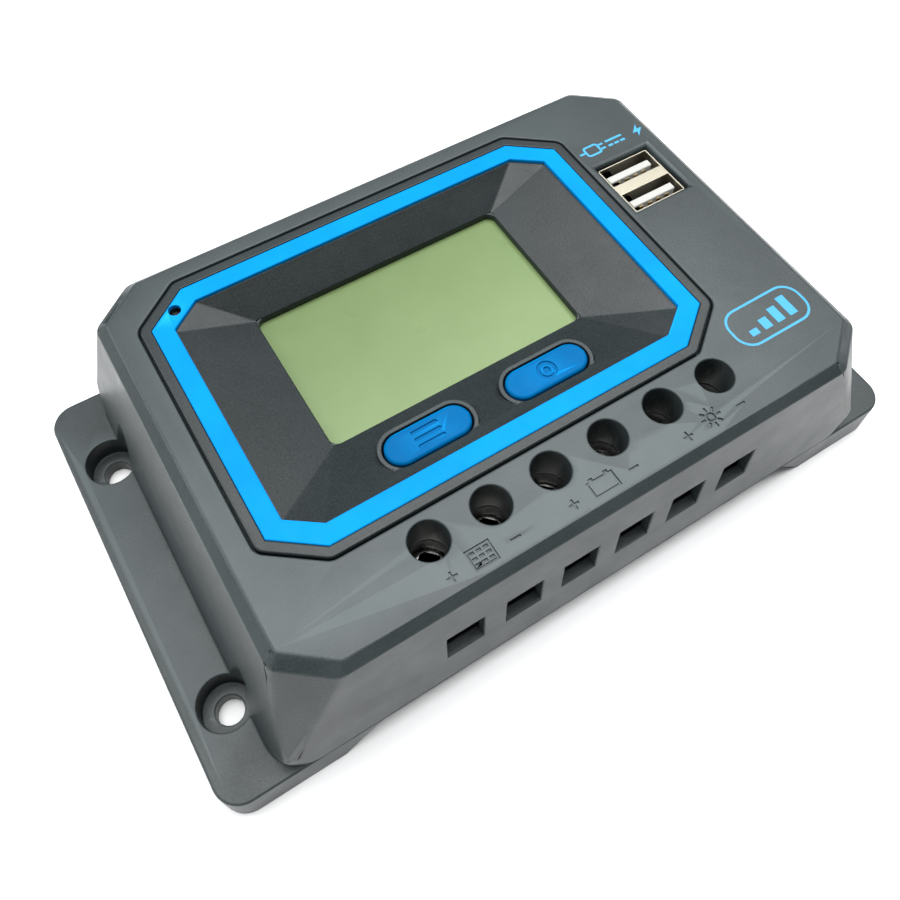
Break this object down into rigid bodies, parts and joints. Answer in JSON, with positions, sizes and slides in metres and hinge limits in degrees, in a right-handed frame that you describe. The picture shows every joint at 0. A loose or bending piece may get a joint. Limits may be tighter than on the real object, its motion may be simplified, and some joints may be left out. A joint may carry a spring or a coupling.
{
  "type": "solar charge controller",
  "caption": "Screw-down plastic case with an LCD in a sunken bezel, coloured band, two keys, twin USB sockets and a row of screw-clamp wire terminals with driver wells.",
  "frame": {"origin": "centre of the footprint, on the mounting surface", "axes": "+X along the case from the left flange to the right one, +Y up the display away from the wire entries, +Z out of the mounting surface"},
  "size_m": [0.1604, 0.0928, 0.042],
  "materials": {
    "housing_plastic": "fine-textured matte moulding",
    "bezel_plastic": "fine-textured satin moulding",
    "band_blue": "bright azure, satin",
    "key_blue": "azure, satin, with engraved marks",
    "lcd_film": "grey-green polarising film, unlit",
    "lcd_glass": "clear display cell",
    "backlight_white": "diffuser",
    "frame_black": "black moulding",
    "circuit_board": "green solder mask",
    "screw_steel": "zinc-plated",
    "terminal_screw_steel": "nickel-plated",
    "lamp_white": "surface-mount lamp",
    "light_pipe": "smoked clear rod",
    "terminal_plastic": "black flame-retardant moulding",
    "bar_brass": "bare brass",
    "contact_gold": "gold-flashed",
    "pad_silicone": "grey silicone sheet",
    "capacitor_sleeve": "shrunk sleeve",
    "choke_ferrite": "ferrite",
    "usb_nickel": "nickel-plated sheet",
    "usb_white": "off-white insulator",
    "base_aluminium": "mill-finish folded sheet"
  },
  "bodies": {
    "case": {"top_housing": "housing_plastic", "base_plate": "base_aluminium", "base_screws": "screw_steel", "display_bezel": "bezel_plastic", "bezel_trim_ring": "band_blue", "lcd_polarizer": "lcd_film", "lcd_glass": "lcd_glass", "lcd_backlight": "backlight_white", "lcd_frame": "frame_black", "display_board": "circuit_board", "display_board_screws": "screw_steel", "status_led": "lamp_white", "status_light_pipe": "light_pipe", "menu_switch": "frame_black", "set_switch": "frame_black", "terminal_block": "terminal_plastic", "terminal_bars": "bar_brass", "main_board": "circuit_board", "board_standoffs": "bar_brass", "main_board_screws": "screw_steel", "header_body": "frame_black", "header_pins": "contact_gold", "thermal_pad": "pad_silicone", "power_transistors": "frame_black", "smoothing_capacitors": "capacitor_sleeve", "filter_choke": "choke_ferrite", "controller_chip": "frame_black", "shunt_resistors": "bar_brass", "usb_shell": "usb_nickel", "usb_tongues": "usb_white", "usb_contacts": "contact_gold", "usb_board": "circuit_board", "usb_board_screws": "screw_steel", "usb_coil": "choke_ferrite"},
    "menu_key": {"menu_key": "key_blue", "menu_switch_plunger": "frame_black"},
    "set_key": {"set_key": "key_blue", "set_switch_plunger": "frame_black"},
    "clamp_1": {"clamp_plate_1": "terminal_screw_steel"},
    "screw_1": {"terminal_screw_1": "terminal_screw_steel"},
    "clamp_2": {"clamp_plate_2": "terminal_screw_steel"},
    "screw_2": {"terminal_screw_2": "terminal_screw_steel"},
    "clamp_3": {"clamp_plate_3": "terminal_screw_steel"},
    "screw_3": {"terminal_screw_3": "terminal_screw_steel"},
    "clamp_4": {"clamp_plate_4": "terminal_screw_steel"},
    "screw_4": {"terminal_screw_4": "terminal_screw_steel"},
    "clamp_5": {"clamp_plate_5": "terminal_screw_steel"},
    "screw_5": {"terminal_screw_5": "terminal_screw_steel"},
    "clamp_6": {"clamp_plate_6": "terminal_screw_steel"},
    "screw_6": {"terminal_screw_6": "terminal_screw_steel"}
  },
  "joints": [
    {"name": "menu_key_press", "type": "slide", "parent": "case", "child": "menu_key", "axis": [0, 0, -1], "range_m": [0, 0.0005], "stiffness_N_per_m": 3000, "springref_m": -0.0003},
    {"name": "set_key_press", "type": "slide", "parent": "case", "child": "set_key", "axis": [0, 0, -1], "range_m": [0, 0.0005], "stiffness_N_per_m": 3000, "springref_m": -0.0003},
    {"name": "clamp_1_close", "type": "slide", "parent": "case", "child": "clamp_1", "axis": [0, 0, -1], "range_m": [0, 0.0042]},
    {"name": "screw_1_turn", "type": "hinge", "parent": "clamp_1", "child": "screw_1", "pos_m": [-0.03087, -0.0328, 0.0302], "axis": [0, 0, -1], "range_deg": [0, 2520]},
    {"name": "clamp_2_close", "type": "slide", "parent": "case", "child": "clamp_2", "axis": [0, 0, -1], "range_m": [0, 0.0042]},
    {"name": "screw_2_turn", "type": "hinge", "parent": "clamp_2", "child": "screw_2", "pos_m": [-0.01852, -0.0328, 0.0302], "axis": [0, 0, -1], "range_deg": [0, 2520]},
    {"name": "clamp_3_close", "type": "slide", "parent": "case", "child": "clamp_3", "axis": [0, 0, -1], "range_m": [0, 0.0042]},
    {"name": "screw_3_turn", "type": "hinge", "parent": "clamp_3", "child": "screw_3", "pos_m": [-0.00617, -0.0328, 0.0302], "axis": [0, 0, -1], "range_deg": [0, 2520]},
    {"name": "clamp_4_close", "type": "slide", "parent": "case", "child": "clamp_4", "axis": [0, 0, -1], "range_m": [0, 0.0042]},
    {"name": "screw_4_turn", "type": "hinge", "parent": "clamp_4", "child": "screw_4", "pos_m": [0.00617, -0.0328, 0.0302], "axis": [0, 0, -1], "range_deg": [0, 2520]},
    {"name": "clamp_5_close", "type": "slide", "parent": "case", "child": "clamp_5", "axis": [0, 0, -1], "range_m": [0, 0.0042]},
    {"name": "screw_5_turn", "type": "hinge", "parent": "clamp_5", "child": "screw_5", "pos_m": [0.01852, -0.0328, 0.0302], "axis": [0, 0, -1], "range_deg": [0, 2520]},
    {"name": "clamp_6_close", "type": "slide", "parent": "case", "child": "clamp_6", "axis": [0, 0, -1], "range_m": [0, 0.0042]},
    {"name": "screw_6_turn", "type": "hinge", "parent": "clamp_6", "child": "screw_6", "pos_m": [0.03087, -0.0328, 0.0302], "axis": [0, 0, -1], "range_deg": [0, 2520]}
  ],
  "couplings": [
    {"joint": "screw_1_turn", "follows": "clamp_1_close", "rad_per_m": 10472},
    {"joint": "screw_2_turn", "follows": "clamp_2_close", "rad_per_m": 10472},
    {"joint": "screw_3_turn", "follows": "clamp_3_close", "rad_per_m": 10472},
    {"joint": "screw_4_turn", "follows": "clamp_4_close", "rad_per_m": 10472},
    {"joint": "screw_5_turn", "follows": "clamp_5_close", "rad_per_m": 10472},
    {"joint": "screw_6_turn", "follows": "clamp_6_close", "rad_per_m": 10472}
  ]
}
